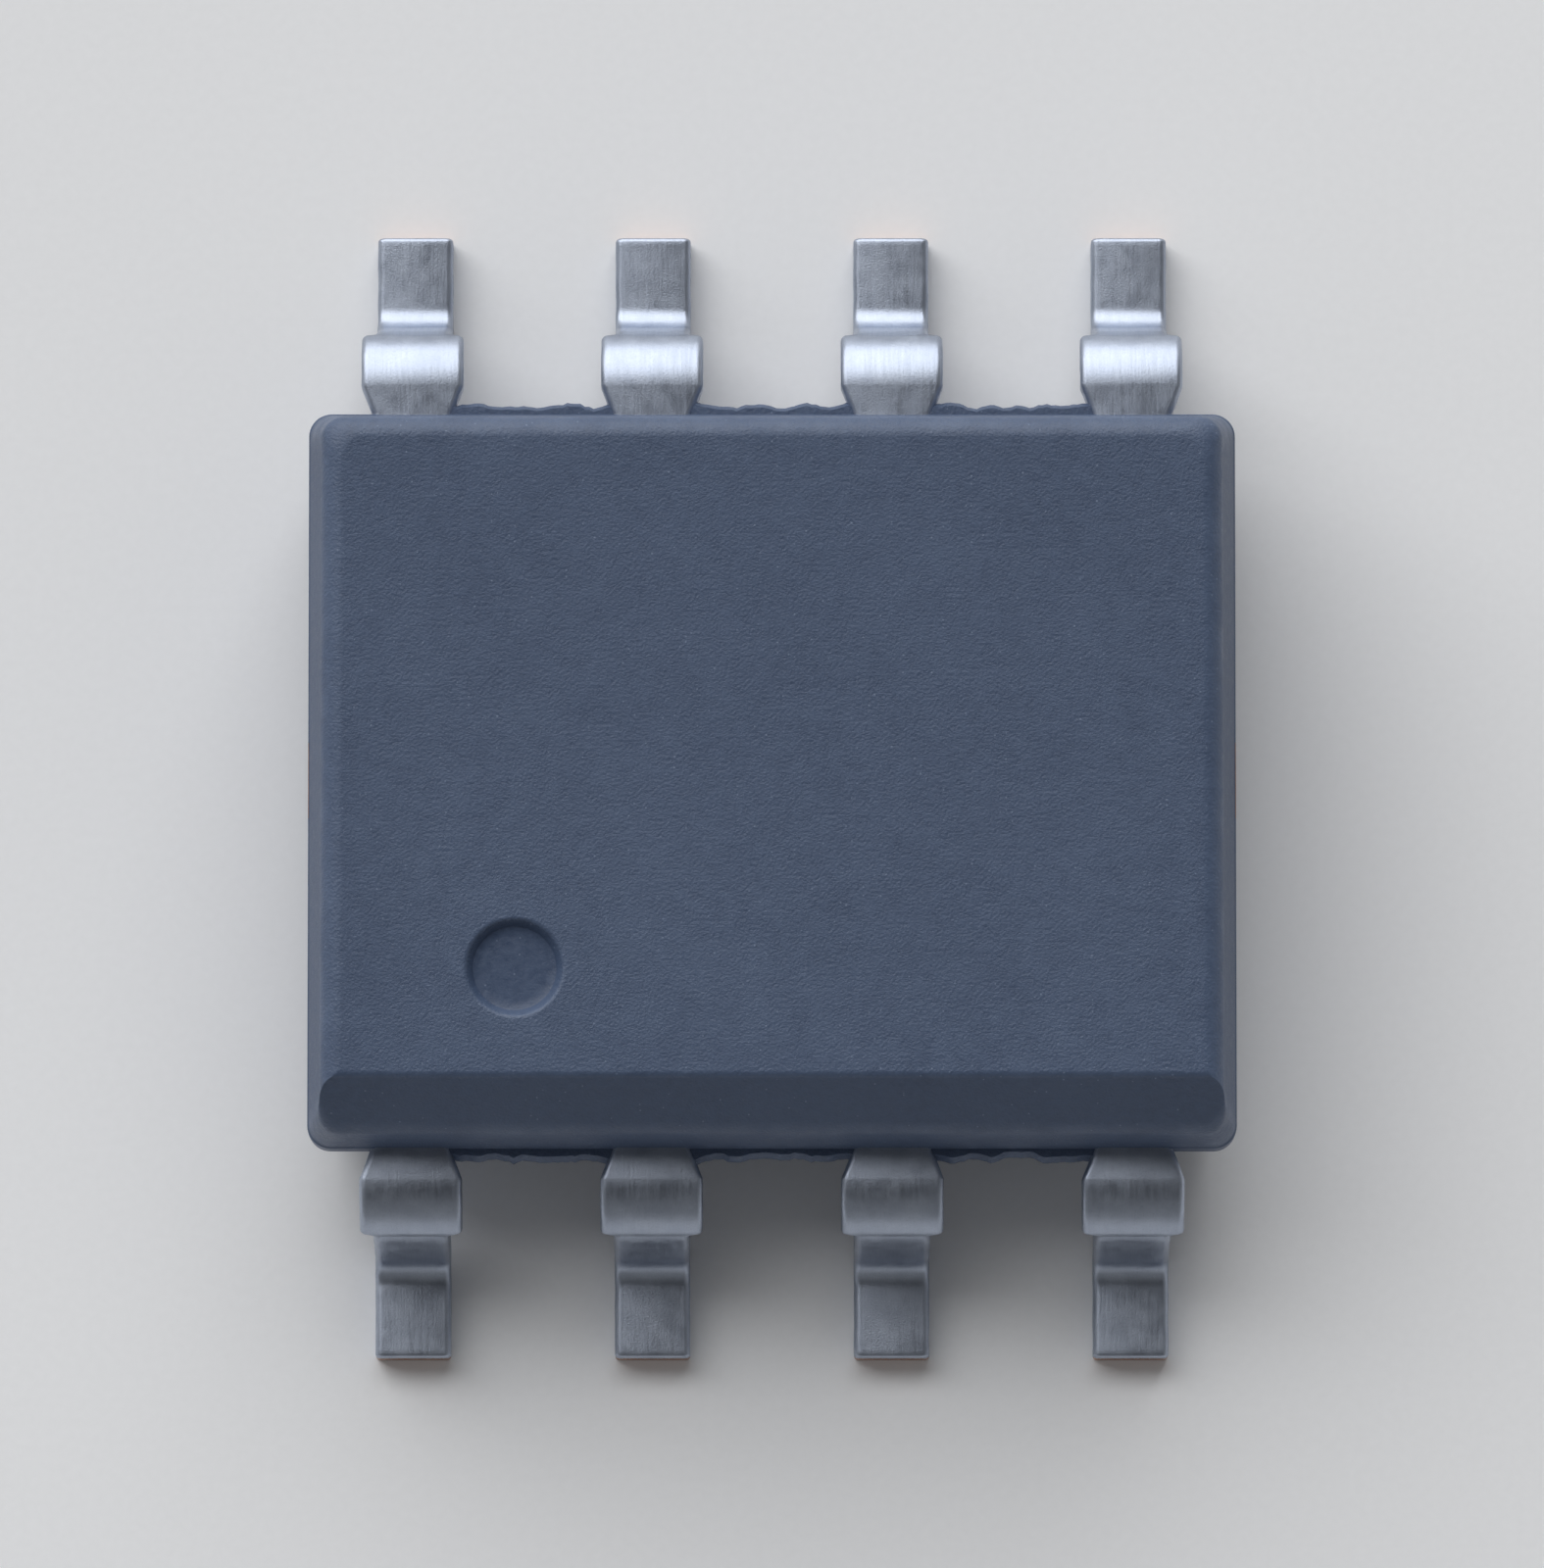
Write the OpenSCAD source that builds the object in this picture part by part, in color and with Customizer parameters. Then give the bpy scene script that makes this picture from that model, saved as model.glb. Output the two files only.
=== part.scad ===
// Eight-lead small-outline integrated circuit with gull-wing leads.
//
// Millimetres, +Z up. The origin lies on the seating plane, under the middle of
// the body. X runs along the body and Y across it. Lead 1 is at -X, -Y, and the
// leads count anticlockwise as seen from above.

/* [Moulded body] */
// Length of the body at its parting band
body_length = 4.9; // [4.7:0.05:5.1]
// Width of the body at its parting band
body_width = 3.9; // [3.8:0.05:4]
// Thickness of the body, without the gap under it
body_height = 1.45; // [1.3:0.05:1.6]
// Gap between the body and the board
standoff = 0.15; // [0.1:0.01:0.25]
// Slope of the body's sides, in degrees from upright
body_draft = 8; // [5:1:12]
// Radius of the body's upright corners
corner_radius = 0.12; // [0.08:0.01:0.2]
// Radius of the edge round the top face
top_edge_radius = 0.12; // [0.06:0.01:0.16]
// Radius of the edge round the bottom face
bottom_edge_radius = 0.06; // [0.04:0.01:0.12]
// Width of the flat cut along the top edge on the side of leads 1 to 4
pin1_chamfer = 0.25; // [0.2:0.01:0.4]
// Diameter of the round mark beside lead 1
pin1_mark_diameter = 0.5; // [0.4:0.05:0.8]
// Depth of the round mark beside lead 1
pin1_mark_depth = 0.06; // [0.03:0.01:0.1]
// Distance from the body's end to the middle of the round mark
pin1_mark_from_end = 1.1; // [0.7:0.05:1.4]
// Distance from the body's long side to the middle of the round mark
pin1_mark_from_side = 0.9; // [0.8:0.05:1.2]
// Diameter of the ejector pin's mark under the body
ejector_diameter = 1.2; // [0.8:0.1:1.6]
// Depth of the ejector pin's mark under the body
ejector_depth = 0.04; // [0.02:0.01:0.08]
// How far the compound stands out between the leads
dam_flash = 0.09; // [0.05:0.01:0.12]
// Width of the broken-off gate on the end face beside leads 1 and 8
gate_width = 0.7; // [0.4:0.05:1]
// Height of the broken-off gate
gate_height = 0.22; // [0.15:0.01:0.3]

/* [Leads] */
// Distance from lead to lead along the body
lead_pitch = 1.27; // [1.2:0.01:1.3]
// Distance across the leads, from tip to tip
lead_span = 6; // [5.8:0.05:6.2]
// Thickness of the stamped strip
lead_thickness = 0.2; // [0.17:0.01:0.25]
// Width of the leg and the foot
lead_width = 0.4; // [0.33:0.01:0.44]
// Width of the strip where it leaves the body
neck_width = 0.42; // [0.36:0.01:0.46]
// Width of the strip across the stubs of the sheared dam bar
dam_bar_width = 0.54; // [0.5:0.01:0.62]
// Length of the dam bar's stubs, measured round the upper bend
dam_bar_length = 0.24; // [0.18:0.01:0.28]
// Length of the foot's flat sole
sole_length = 0.38; // [0.3:0.01:0.42]
// Inner radius of the two bends
bend_radius = 0.12; // [0.1:0.01:0.14]
// Slope of the leg, in degrees from the board
leg_angle = 80; // [75:1:85]

/* [Lead frame inside] */
// How far the paddle for the die lies below the leads
paddle_downset = 0.18; // [0.1:0.01:0.22]
// Gap between the paddle and the leads' inner ends
frame_gap = 0.2; // [0.15:0.01:0.25]
// Width of the bars that hold the paddle at the body's ends
tie_bar_width = 0.4; // [0.3:0.02:0.5]
// Gap between these bars and the corner leads' inner ends
tie_bar_gap = 0.42; // [0.34:0.02:0.5]
// Length of the slope that lowers the paddle
downset_run = 0.22; // [0.18:0.01:0.26]
// Width of the heads on the inner ends of the middle leads
head_width = 0.84; // [0.7:0.02:0.96]
// Length of the heads of the middle leads
head_length = 0.35; // [0.3:0.01:0.4]
// Distance from the body's side to the heads
head_cover = 0.35; // [0.3:0.01:0.4]
// Distance from a corner lead's middle line to the inner side of its head
corner_head = 0.3; // [0.26:0.01:0.34]
// Chamfer on the heads' corners
head_chamfer = 0.1; // [0.06:0.01:0.14]

/* [Die and bonds] */
// Length of the silicon die
die_length = 1.7; // [1.4:0.05:1.9]
// Width of the silicon die
die_width = 1.4; // [1.1:0.05:1.5]
// Thickness of the silicon die
die_thickness = 0.25; // [0.15:0.01:0.3]
// Thickness of the adhesive under the die
bond_line = 0.03; // [0.02:0.005:0.05]
// How far the adhesive spreads past the die
fillet_width = 0.1; // [0.06:0.01:0.14]
// How far the adhesive climbs the die's sides
fillet_height = 0.08; // [0.04:0.01:0.12]
// Distance from the die's edge to its bond pads
pad_inset = 0.1; // [0.08:0.01:0.15]
// Distance between the pads of the two middle leads
pad_spacing = 0.6; // [0.4:0.02:0.8]
// Diameter of the gold wire
wire_diameter = 0.03; // [0.025:0.005:0.05]
// Height of the wire's loop above the die
loop_height = 0.17; // [0.12:0.01:0.22]
// Diameter of the ball at the wire's start
ball_diameter = 0.08; // [0.07:0.005:0.1]
// Height of the ball at the wire's start
ball_height = 0.025; // [0.02:0.005:0.035]
// Length of the flattened stitch at the wire's end
stitch_length = 0.06; // [0.04:0.005:0.08]
// Distance from a lead's inner end to its stitch
stitch_inset = 0.14; // [0.12:0.01:0.2]

/* [Hidden] */
$fn = 48;
leads_per_side = 4;
lead_count = 2 * leads_per_side;

// Levels, from the board up
body_bottom = standoff;
body_top = standoff + body_height;
strip_bottom = standoff + (body_height - lead_thickness) / 2;
strip_top = strip_bottom + lead_thickness;
paddle_bottom = strip_bottom - paddle_downset;
paddle_top = paddle_bottom + lead_thickness;
die_bottom = paddle_top + bond_line;
die_top = die_bottom + die_thickness;

// Lead section: both bends turn by leg_angle, and what is left over between
// the body and the sole is the flat shoulder
bend_outer = bend_radius + lead_thickness;
bend_middle = bend_radius + lead_thickness / 2;
bend_run = bend_middle * sin(leg_angle);
bend_drop = bend_middle * (1 - cos(leg_angle));
leg_run = (strip_bottom - 2 * bend_drop) / tan(leg_angle);
lead_tip = lead_span / 2;
sole_start = lead_tip - sole_length;
shoulder_end = sole_start - 2 * bend_run - leg_run;
upper_bend = [shoulder_end, strip_bottom - bend_radius];
lower_bend = [sole_start, bend_outer];

// Lead outline seen from above, and the part of the upper bend that the dam
// bar's stubs cover
body_side = body_width / 2;
dam_bar_turn = dam_bar_length / bend_middle * 180 / PI;
head_end = body_side - head_cover;
head_tip = head_end - head_length;
corner_lead_x = (leads_per_side - 1) * lead_pitch / 2;
corner_reach = tie_bar_width / 2 + tie_bar_gap;

// The paddle fills the space that the leads' heads leave
paddle_length = 2 * (corner_lead_x - corner_head - frame_gap);
paddle_width = 2 * (head_tip - frame_gap);

// The mark beside lead 1, and the gate's root on the end beside leads 1 and 8
mark_x = -(body_length / 2 - pin1_mark_from_end);
mark_y = -(body_side - pin1_mark_from_side);
gate_root = corner_radius;

corner_steps = 6;
edge_steps = 4;
bend_steps = 10;
wire_sides = 8;
wire_steps = 9;
past = 0.05;

// Side of the body that a lead is on: -1 for leads 1 to 4, 1 for the others
function side_of(i) = i <= leads_per_side ? -1 : 1;
function lead_x(i) = -side_of(i) * ((i - 1) % leads_per_side * lead_pitch - corner_lead_x);
function end_of(i) = lead_x(i) < 0 ? -1 : 1;
function is_corner(i) = abs(lead_x(i)) > corner_lead_x - lead_pitch / 2;

// Points of a rectangle with round corners at height z
function slab_ring(length, width, radius, z) = [
    for (corner = [0:3])
        for (step = [0:corner_steps])
            let (
                turn = 90 * corner + 90 * step / corner_steps,
                sx = corner == 0 || corner == 3 ? 1 : -1,
                sy = corner < 2 ? 1 : -1
            )
            [sx * (length / 2 - radius) + radius * cos(turn), sy * (width / 2 - radius) + radius * sin(turn), z]
];

// Closed skin over a list of rings that have the same number of points
module skin(rings) {
    count = len(rings[0]);
    last = (len(rings) - 1) * count;
    sides = [
        for (r = [0:len(rings) - 2])
            for (i = [0:count - 1])
                let (a = r * count + i, b = r * count + (i + 1) % count)
                for (face = [[a, b + count, b], [a, a + count, b + count]]) face
    ];
    bottom = [for (i = [1:count - 2]) [0, i, i + 1]];
    top = [for (i = [1:count - 2]) [last, last + i + 1, last + i]];
    polyhedron(points = [for (ring = rings) each ring], faces = concat(bottom, sides, top));
}

// One ring of the body: how far it lies inside the parting band, and its height
function body_ring(inset, z) =
    slab_ring(body_length - 2 * inset, body_width - 2 * inset, corner_radius, z);

// Rings of one half of the body, from the parting band to its flat face: the
// side slopes in, and an arc that starts square to the slope rounds the edge
function half_rings(from_z, to_z, radius) =
    let (
        up = sign(to_z - from_z),
        arc_height = radius * (1 - sin(body_draft)),
        slope_end = abs(to_z - from_z) - arc_height,
        slope_inset = slope_end * tan(body_draft)
    )
    concat(
        [body_ring(0, from_z)],
        [
            for (step = [0:edge_steps])
                let (turn = body_draft + (90 - body_draft) * step / edge_steps)
                body_ring(
                    slope_inset + radius * (cos(body_draft) - cos(turn)),
                    from_z + up * (slope_end + radius * (sin(turn) - sin(body_draft)))
                )
        ]
    );

function reversed(list) = [for (i = [len(list) - 1:-1:0]) list[i]];

// The compound's outer form: lower half, upright parting band, upper half
module body_block() {
    skin(concat(
        reversed(half_rings(strip_bottom, body_bottom, bottom_edge_radius)),
        half_rings(strip_top, body_top, top_edge_radius)
    ));
}

// The flat along the top edge beside leads 1 to 4
module pin1_chamfer_cut() {
    edge = -(body_side - (body_top - strip_top) * tan(body_draft));
    reach = pin1_chamfer + past;
    rotate([90, 0, 90])
        linear_extrude(body_length, center = true)
            polygon([
                [edge - past, body_top + past],
                [edge - past, body_top - reach],
                [edge + reach, body_top + past]
            ]);
}

// The mark's wall slopes out by half its height on each side
module pin1_mark_cut() {
    translate([mark_x, mark_y, body_top - pin1_mark_depth])
        cylinder(
            h = pin1_mark_depth + past,
            d1 = pin1_mark_diameter - pin1_mark_depth,
            d2 = pin1_mark_diameter + past
        );
}

module ejector_cut() {
    translate([0, 0, body_bottom - past])
        cylinder(h = ejector_depth + past, d = ejector_diameter);
}

// Compound that ran out between the leads as far as the dam bar
module dam_flash_strips() {
    for (side = [-1, 1])
        translate([-corner_lead_x, side * body_side - dam_flash, strip_bottom])
            cube([2 * corner_lead_x, 2 * dam_flash, lead_thickness]);
}

// Rough stub where the runner was broken off, just under the parting band
module gate_stub() {
    translate([-body_length / 2, -gate_width / 2, strip_bottom - gate_height])
        cube([gate_root, gate_width, gate_height]);
}

module mould_body() {
    color([0.25, 0.28, 0.34])
        difference() {
            union() {
                body_block();
                dam_flash_strips();
                gate_stub();
            }
            pin1_chamfer_cut();
            pin1_mark_cut();
            ejector_cut();
            paddle_form(body_length / 2 + past);
            die_attach();
            die();
            die_stack_core();
            for (i = [1:lead_count]) {
                lead(i);
                bond_wire(i);
            }
        }
}

function arc(middle, radius, from, to) = [
    for (step = [0:bend_steps])
        let (turn = from + (to - from) * step / bend_steps)
        middle + radius * [cos(turn), sin(turn)]
];

// Side view of a lead, with x outwards and y up: the upper face out to the tip,
// then the lower face back to the inner end
module lead_section(inner_end) {
    polygon(concat(
        [[inner_end, strip_top]],
        arc(upper_bend, bend_outer, 90, 90 - leg_angle),
        arc(lower_bend, bend_radius, 270 - leg_angle, 270),
        [[lead_tip, lead_thickness], [lead_tip, 0]],
        arc(lower_bend, bend_outer, 270, 270 - leg_angle),
        arc(upper_bend, bend_radius, 90 - leg_angle, 90),
        [[inner_end, strip_bottom]]
    ));
}

// The strip outside the body, seen from above: the neck widens to the dam
// bar's stubs, and the leg and the foot are straight
function outer_outline() = [
    [neck_width / 2, body_side],
    [dam_bar_width / 2, shoulder_end],
    [lead_width / 2, shoulder_end],
    [lead_width / 2, lead_tip]
];

function mirrored(points) = [for (p = reversed(points)) [-p[0], p[1]]];

// Middle leads end in a wide head that the compound locks in
module middle_outline() {
    half = concat(
        [
            [head_width / 2 - head_chamfer, head_tip],
            [head_width / 2, head_tip + head_chamfer],
            [head_width / 2, head_end - head_chamfer],
            [neck_width / 2, head_end]
        ],
        outer_outline()
    );
    polygon(concat(half, mirrored(half)));
}

// Corner leads run in beside the paddle. Their head widens towards -x here
module corner_outline() {
    polygon(concat(
        [[neck_width / 2, corner_reach]],
        outer_outline(),
        mirrored(outer_outline()),
        [
            [-neck_width / 2, head_end],
            [-corner_head, head_end - head_chamfer],
            [-corner_head, corner_reach + head_chamfer],
            [-corner_head + head_chamfer, corner_reach]
        ]
    ));
}

// The stubs of the dam bar end square to the strip, part of the way round the
// upper bend. The zone that they fill is a sector with the bend's own middle
module dam_bar_zone() {
    rotate([90, 0, 90])
        linear_extrude(dam_bar_width, center = true)
            polygon(concat([upper_bend], arc(upper_bend, 2 * bend_outer, 90, 90 - dam_bar_turn)));
}

// A lead on the +Y side, with its middle line on the YZ plane
module lead_form(corner) {
    inner_end = corner ? corner_reach : head_tip;
    intersection() {
        rotate([90, 0, 90])
            linear_extrude(2 * head_width, center = true)
                lead_section(inner_end);
        union() {
            linear_extrude(body_top)
                if (corner) corner_outline();
                else middle_outline();
            dam_bar_zone();
        }
    }
}

module lead(i) {
    color([0.83, 0.84, 0.86])
        translate([lead_x(i), 0, 0])
            mirror([0, side_of(i) < 0 ? 1 : 0, 0])
                mirror([end_of(i) < 0 ? 1 : 0, 0, 0])
                    lead_form(is_corner(i));
}

// Side view of the paddle and its tie bars, which rise to the leads' level
module paddle_section(bar_end) {
    slope_start = paddle_length / 2;
    slope_end = slope_start + downset_run;
    half = [
        [slope_start, paddle_bottom],
        [slope_end, strip_bottom],
        [bar_end, strip_bottom],
        [bar_end, strip_top],
        [slope_end, strip_top],
        [slope_start, paddle_top]
    ];
    polygon(concat(half, mirrored(half)));
}

// The paddle with tie bars that end at bar_end on each side
module paddle_form(bar_end) {
    intersection() {
        rotate([90, 0, 0])
            linear_extrude(paddle_width, center = true)
                paddle_section(bar_end);
        linear_extrude(body_top) {
            square([paddle_length, paddle_width], center = true);
            square([2 * bar_end, tie_bar_width], center = true);
        }
    }
}

// The tie bars were sheared off flush with the body's ends
module die_paddle() {
    color([0.76, 0.56, 0.42]) paddle_form(body_length / 2);
}

module die_block() {
    translate([-die_length / 2, -die_width / 2, die_bottom])
        cube([die_length, die_width, die_thickness]);
}

module die() {
    color([0.42, 0.44, 0.5]) die_block();
}

// Space under the die that the paddle and the adhesive fill, which keeps the
// cavity for the whole stack in one piece
module die_stack_core() {
    translate([-die_length / 2, -die_width / 2, paddle_bottom])
        cube([die_length, die_width, die_top - paddle_bottom]);
}

// Silver-filled adhesive: a thin layer with a fillet that climbs the die
module die_attach() {
    foot = 2 * fillet_width;
    color([0.72, 0.72, 0.7])
        difference() {
            skin([
                slab_ring(die_length + foot, die_width + foot, fillet_width, paddle_top),
                slab_ring(die_length + foot, die_width + foot, fillet_width, die_bottom),
                slab_ring(
                    die_length + fillet_width / 2, die_width + fillet_width / 2,
                    fillet_width / 4, die_bottom + fillet_height
                )
            ]);
            die_block();
        }
}

// Where a wire starts on the die and where it is stitched to its lead
function pad_of(i) = [
    end_of(i) * (is_corner(i) ? die_length / 2 - pad_inset : pad_spacing / 2),
    side_of(i) * (die_width / 2 - pad_inset)
];
function stitch_of(i) = is_corner(i)
    ? [
        end_of(i) * (corner_lead_x - corner_head + stitch_inset),
        side_of(i) * (corner_reach + head_chamfer + stitch_inset)
    ]
    : [lead_x(i), side_of(i) * (head_tip + stitch_inset)];

// A ring of a wire that runs in the XZ plane: middle, direction in degrees
// above +x, and half its size across and along the plane. Its sides lie flat
// on a plane that is seat times its half size away
seat = cos(180 / wire_sides);
function wire_ring(x, z, direction, across, along) = [
    for (k = [0:wire_sides - 1])
        let (turn = 360 * (k + 0.5) / wire_sides, lift = along * sin(turn))
        [x - lift * sin(direction), across * cos(turn), z + lift * cos(direction)]
];

function bezier(p, t) =
    pow(1 - t, 3) * p[0] + 3 * pow(1 - t, 2) * t * p[1]
    + 3 * (1 - t) * t * t * p[2] + pow(t, 3) * p[3];
function bezier_slope(p, t) =
    3 * pow(1 - t, 2) * (p[1] - p[0]) + 6 * (1 - t) * t * (p[2] - p[1])
    + 3 * t * t * (p[3] - p[2]);

// The ball is squashed on its pad: height and radius as shares of its own
ball_profile = [[0, 0.8], [0.5, 1], [1, 0.7]];
function ball_rings() = [
    for (step = ball_profile)
        let (radius = step[1] * ball_diameter / 2)
        wire_ring(0, die_top + step[0] * ball_height, 90, radius, radius)
];

// The wire leaves the ball upright, bends over a third of the way along and
// comes down on the lead a stitch's length before its end
function wire_loop(span) = [
    [0, die_top + ball_height + wire_diameter / 3],
    [0, die_top + 1.6 * loop_height],
    [span / 3, die_top + loop_height],
    [span - stitch_length, strip_top + seat * wire_diameter / 2]
];

// Rings of a wire from its ball at x = 0 to its stitch at x = span, where it
// is pressed to half its height and half as wide again
function wire_rings(span) =
    let (loop = wire_loop(span), radius = wire_diameter / 2)
    concat(
        ball_rings(),
        [
            for (step = [0:wire_steps])
                let (
                    middle = bezier(loop, step / wire_steps),
                    slope = bezier_slope(loop, step / wire_steps),
                    direction = step < wire_steps ? atan2(slope[1], slope[0]) : 0
                )
                wire_ring(middle[0], middle[1], direction, radius, radius)
        ],
        [wire_ring(span, strip_top + seat * radius / 2, 0, 1.5 * radius, radius / 2)]
    );

module bond_wire(i) {
    from = pad_of(i);
    run = stitch_of(i) - from;
    color([0.95, 0.78, 0.38])
        translate([from[0], from[1], 0])
            rotate(atan2(run[1], run[0]))
                skin(wire_rings(norm(run)));
}

mould_body();
die_paddle();
die_attach();
die();
for (i = [1:lead_count]) {
    lead(i);
    bond_wire(i);
}
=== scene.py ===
"""Looks of an eight-lead small-outline chip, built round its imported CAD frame.

The body and the leads are fine meshes that stand for their CAD nodes: the body has its moulded edges,
parting line, flash, gate and recesses, and each lead is one swept strip with rolled edges. The pieces
inside the body stay as their CAD nodes. Everything is in metres.
"""

import math

import bmesh
import bpy
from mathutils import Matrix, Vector, noise


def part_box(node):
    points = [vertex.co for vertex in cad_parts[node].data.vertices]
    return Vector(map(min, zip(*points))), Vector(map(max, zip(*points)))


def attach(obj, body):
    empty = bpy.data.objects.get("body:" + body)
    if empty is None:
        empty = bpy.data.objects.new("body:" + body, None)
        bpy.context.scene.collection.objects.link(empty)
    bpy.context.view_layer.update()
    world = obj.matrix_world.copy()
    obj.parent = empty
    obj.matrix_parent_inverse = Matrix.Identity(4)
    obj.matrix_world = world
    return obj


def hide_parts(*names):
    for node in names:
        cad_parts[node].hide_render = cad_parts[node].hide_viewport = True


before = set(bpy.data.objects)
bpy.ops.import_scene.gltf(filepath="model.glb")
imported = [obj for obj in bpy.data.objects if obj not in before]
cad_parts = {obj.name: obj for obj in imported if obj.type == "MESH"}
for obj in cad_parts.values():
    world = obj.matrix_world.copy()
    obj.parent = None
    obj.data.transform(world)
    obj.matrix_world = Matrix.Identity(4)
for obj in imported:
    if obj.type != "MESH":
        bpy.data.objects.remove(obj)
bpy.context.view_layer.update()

MM = 0.001
LEADS_PER_SIDE = 4
LEAD_COUNT = 2 * LEADS_PER_SIDE

# Sizes of the moulded body that its box doesn't give, the same as in the part's source
DRAFT = math.radians(8)
CORNER_RADIUS = 0.12 * MM
TOP_EDGE_RADIUS = 0.12 * MM
BOTTOM_EDGE_RADIUS = 0.06 * MM
PIN1_CHAMFER = 0.25 * MM
PIN1_CHAMFER_ANGLE = math.radians(45)
DAM_FLASH = 0.09 * MM
MARK_DIAMETER = 0.5 * MM
MARK_DEPTH = 0.06 * MM
MARK_FROM_END = 1.1 * MM
MARK_FROM_SIDE = 0.9 * MM
EJECTOR_DIAMETER = 1.2 * MM
EJECTOR_DEPTH = 0.04 * MM
GATE_WIDTH = 0.7 * MM
GATE_HEIGHT = 0.22 * MM

# Finish of the body's edges that only this script has
CHAMFER_SOFTNESS = 0.05 * MM
CHAMFER_BLEND = 0.03 * MM
PARTING_LIP = 0.006 * MM
RECESS_RIM = 0.018 * MM
FLASH_LIP = 0.02 * MM
FLASH_OVERLAP = 0.04 * MM  # how far a web of flash reaches into the leads beside it
GATE_TOP = 0.004 * MM  # gap between the parting line and the break of the gate
GATE_FALL = 0.012 * MM  # width over which the break runs out into the wall
GATE_REACH = 0.04 * MM  # faces of the break lie no further in from the body's end
WALL_FLATNESS = 0.9995  # cosine to the drafted wall past which a face is part of it

# How far a cutting tool runs past what it cuts, and how far a wire's tool is pressed into its seats
OVERRUN = 0.05 * MM
PRESS = 0.0005 * MM

# Sizes of the leads that their boxes don't give, the same as in the part's source
STRIP = 0.2 * MM
LEAD_WIDTH = 0.4 * MM
NECK_WIDTH = 0.42 * MM
DAM_BAR_WIDTH = 0.54 * MM
DAM_BAR_LENGTH = 0.24 * MM
SOLE_LENGTH = 0.38 * MM
BEND_RADIUS = 0.12 * MM
LEG_ANGLE = math.radians(80)
HEAD_COVER = 0.35 * MM
HEAD_CHAMFER = 0.1 * MM

# Finish of the strip that only this script has
ROLLED_EDGE = 0.035 * MM
SHEARED_EDGE = 0.012 * MM
TIP_ROLL = 0.022 * MM
DAM_BAR_SHEAR = 0.008 * MM
STATION_SPACING = 0.022 * MM
EDGE_WANDER = 0.0025 * MM

# Angle past which an edge is shaded as sharp, in degrees
LEAD_CREASE = 32
BODY_CREASE = 40

# Grains of the noise that makes edges ragged, per metre
COARSE_GRAIN = 9000
FINE_GRAIN = 40000
BREAK_GRAIN = 16000

body_low, body_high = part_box("mould_body")
die_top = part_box("die")[1].z
strip_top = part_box("die_paddle")[1].z
strip_bottom = strip_top - STRIP
strip_middle = strip_top - STRIP / 2
half_length = body_high.x
body_side = body_high.y - DAM_FLASH
body_bottom = body_low.z
body_top = body_high.z
mark_x = -(half_length - MARK_FROM_END)
mark_y = -(body_side - MARK_FROM_SIDE)


# ---------------------------------------------------------------- mesh tools


def mesh_object(name, bm):
    """A new object from a bmesh, with its faces turned outwards."""
    bmesh.ops.recalc_face_normals(bm, faces=bm.faces)
    mesh = bpy.data.meshes.new(name)
    bm.to_mesh(mesh)
    bm.free()
    piece = bpy.data.objects.new(name, mesh)
    bpy.context.scene.collection.objects.link(piece)
    return piece


def loft(rings):
    """A closed bmesh over rings of points that all have the same count."""
    bm = bmesh.new()
    rows = [[bm.verts.new(point) for point in ring] for ring in rings]
    count = len(rows[0])
    for low, high in zip(rows, rows[1:]):
        for i in range(count):
            j = (i + 1) % count
            bm.faces.new((low[i], low[j], high[j], high[i]))
    bm.faces.new(reversed(rows[0]))
    bm.faces.new(rows[-1])
    return bm


def revolve(profile, steps=64):
    """Rings round the Z axis for a profile of (radius, height) points."""
    turns = [2 * math.pi * k / steps for k in range(steps)]
    return [[Vector((r * math.cos(t), r * math.sin(t), z)) for t in turns] for r, z in profile]


def finish_normals(piece, angle):
    """Smooth shading that stays sharp past an angle in degrees, with large faces kept flat."""
    # Booleans bring along the CAD tools' own normals, which would hide the sharp edges
    carried = piece.data.attributes.get("custom_normal")
    if carried:
        piece.data.attributes.remove(carried)
    piece.data.polygons.foreach_set("use_smooth", [True] * len(piece.data.polygons))
    piece.data.set_sharp_from_angle(angle=math.radians(angle))
    weighted = piece.modifiers.new("weighted normals", "WEIGHTED_NORMAL")
    weighted.keep_sharp = True
    weighted.weight = 80


def bake_modifiers(piece):
    """The piece's mesh with its modifiers worked in."""
    bpy.context.view_layer.update()
    evaluated = piece.evaluated_get(bpy.context.evaluated_depsgraph_get())
    mesh = bpy.data.meshes.new_from_object(evaluated)
    piece.modifiers.clear()
    old = piece.data
    piece.data = mesh
    bpy.data.meshes.remove(old)


def cut_or_join(piece, operation, tools):
    """Booleans with a list of closed tool objects, which are then removed."""
    for tool in tools:
        step = piece.modifiers.new(tool.name, "BOOLEAN")
        step.operation = operation
        step.object = tool
        step.solver = "MANIFOLD"
    bake_modifiers(piece)
    for tool in tools:
        bpy.data.objects.remove(tool)


def mark_faces(piece, name, test):
    """Corner attribute that is 1 on the faces that pass a test and 0 on the rest."""
    values = []
    for face in piece.data.polygons:
        values += [float(test(face))] * face.loop_total
    piece.data.attributes.new(name, "FLOAT", "CORNER").data.foreach_set("value", values)


# ---------------------------------------------------------------- the leads


def side_of(i):
    return -1 if i <= LEADS_PER_SIDE else 1


def lead_x(i):
    """Middle line of lead i, halfway across its foot."""
    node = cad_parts[f"lead_{i}"]
    feet = [v.co.x for v in node.data.vertices if v.co.z < STRIP / 10]
    return (min(feet) + max(feet)) / 2


def end_of(i):
    return -1 if lead_x(i) < 0 else 1


def is_corner(i):
    return abs(lead_x(i)) > half_length / 2


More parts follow.
